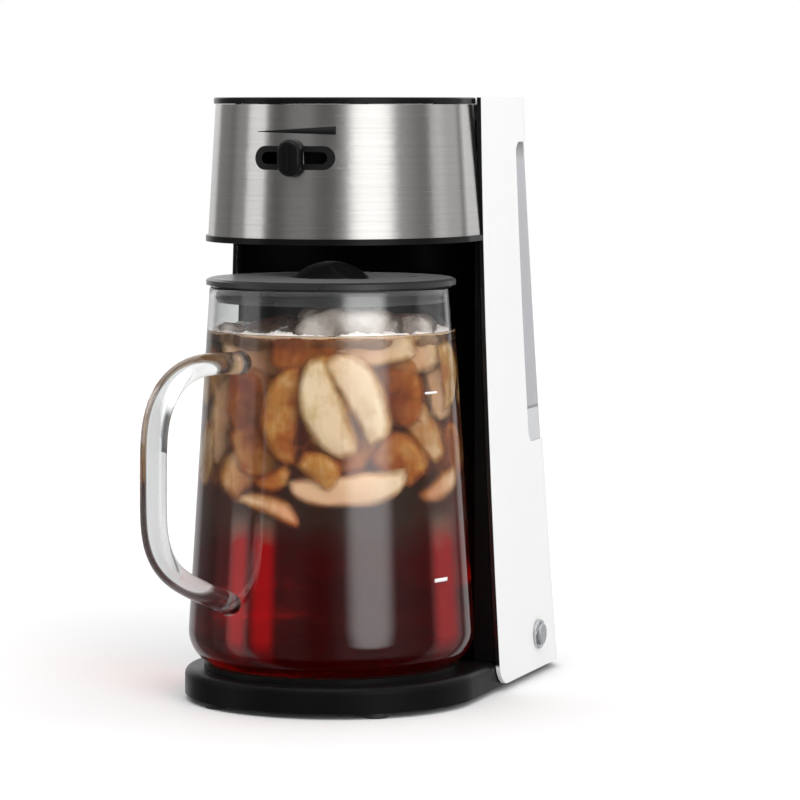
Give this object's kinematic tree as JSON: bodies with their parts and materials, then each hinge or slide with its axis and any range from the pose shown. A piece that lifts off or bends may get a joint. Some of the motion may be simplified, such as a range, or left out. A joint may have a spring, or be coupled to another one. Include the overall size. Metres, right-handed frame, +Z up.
{
  "type": "iced tea maker",
  "caption": "Countertop iced tea maker: white tower with water tank, steel-banded brewing head with strength slider, and lidded glass pitcher on a black base.",
  "frame": {"origin": "on the table under the middle of the whole object, pitcher handle included", "axes": "+Z up; the front, where the pitcher stands, faces -Y; the switch is on the +X side"},
  "size_m": [0.1661, 0.2805, 0.318],
  "materials": {
    "white_shell": "smooth satin white moulding",
    "black_plastic": "fine matte black moulding",
    "gloss_black": "semi-gloss black moulding",
    "lid_black": "satin black moulding",
    "grey_plastic": "natural acetal grey",
    "button_plastic": "satin silver push button",
    "button_chrome": "bright plated ring",
    "brushed_steel": "brushed along the band",
    "clear_glass": "clear pressed glass",
    "tank_plastic": "frosted clear tank plastic",
    "window_plastic": "smoked clear plastic",
    "steel_hardware": "zinc plated steel",
    "aluminium": "as extruded",
    "rubber": "matte black rubber",
    "silicone": "milky silicone",
    "riser_plastic": "natural polypropylene",
    "filter_nylon": "fine nylon mesh"
  },
  "bodies": {
    "machine": {"rear_shell": "white_shell", "base_shell": "black_plastic", "bottom_plate": "black_plastic", "column_front": "black_plastic", "head_body": "black_plastic", "slot_bezel": "black_plastic", "brew_basket": "black_plastic", "spreader_plate": "black_plastic", "permanent_filter": "black_plastic", "spray_spout": "black_plastic", "tank_shelf": "black_plastic", "tank_socket": "black_plastic", "cord_gland": "black_plastic", "power_switch": "black_plastic", "terminal_block": "black_plastic", "check_valve": "black_plastic", "head_floor": "gloss_black", "button_bezel": "button_chrome", "steel_band": "brushed_steel", "sight_window_left": "window_plastic", "sight_window_right": "window_plastic", "base_screws": "steel_hardware", "head_screws": "steel_hardware", "heater_screw": "steel_hardware", "heater_strap": "steel_hardware", "lid_hinge_pins": "steel_hardware", "hose_clamps": "steel_hardware", "button_spring": "steel_hardware", "thermostat": "steel_hardware", "thermal_fuse": "steel_hardware", "heater_block": "aluminium", "heater_tube": "aluminium", "foot_front_left": "rubber", "foot_front_right": "rubber", "foot_rear_left": "rubber", "foot_rear_right": "rubber", "socket_seal": "silicone", "inlet_hose": "silicone", "outlet_hose": "silicone", "riser_tube": "riser_plastic", "filter_mesh": "filter_nylon"},
    "top_lid": {"top_lid": "gloss_black", "lid_bumpers": "rubber"},
    "strength_lever": {"strength_lever": "grey_plastic", "strength_knob": "gloss_black"},
    "tank": {"tank": "tank_plastic", "tank_lid_pins": "steel_hardware", "tank_valve_body": "black_plastic", "tank_valve_poppet": "grey_plastic", "tank_valve_spring": "steel_hardware", "tank_strainer": "black_plastic"},
    "tank_lid": {"tank_lid": "white_shell"},
    "power_button": {"power_button": "button_plastic"},
    "pitcher": {"pitcher_glass": "clear_glass", "pitcher_handle": "clear_glass"},
    "pitcher_lid": {"pitcher_lid": "lid_black", "pitcher_lid_seal": "silicone"}
  },
  "joints": [
    {"name": "top_lid_hinge", "type": "hinge", "parent": "machine", "child": "top_lid", "pos_m": [0, 0.0216, 0.3155], "axis": [-1, 0, 0], "range_deg": [0, 90]},
    {"name": "strength_slider", "type": "hinge", "parent": "machine", "child": "strength_lever", "pos_m": [0, -0.0194, 0.2475], "axis": [0, 0, 1], "range_deg": [-14, 14]},
    {"name": "tank_lift", "type": "slide", "parent": "machine", "child": "tank", "axis": [0, 0, 1], "range_m": [0, 0.27]},
    {"name": "tank_lid_hinge", "type": "hinge", "parent": "tank", "child": "tank_lid", "pos_m": [0, 0.1054, 0.3158], "axis": [-1, 0, 0], "range_deg": [0, 95]},
    {"name": "power_button_press", "type": "slide", "parent": "machine", "child": "power_button", "axis": [-1, 0, 0], "range_m": [0, 0.0018], "stiffness_N_per_m": 600, "springref_m": -0.001, "deforming": ["button_spring"]},
    {"name": "pitcher_slide", "type": "slide", "parent": "machine", "child": "pitcher", "axis": [0, -1, 0], "range_m": [0, 0.16]},
    {"name": "pitcher_lid_lift", "type": "slide", "parent": "pitcher", "child": "pitcher_lid", "axis": [0, 0, 1], "range_m": [0, 0.009]}
  ]
}
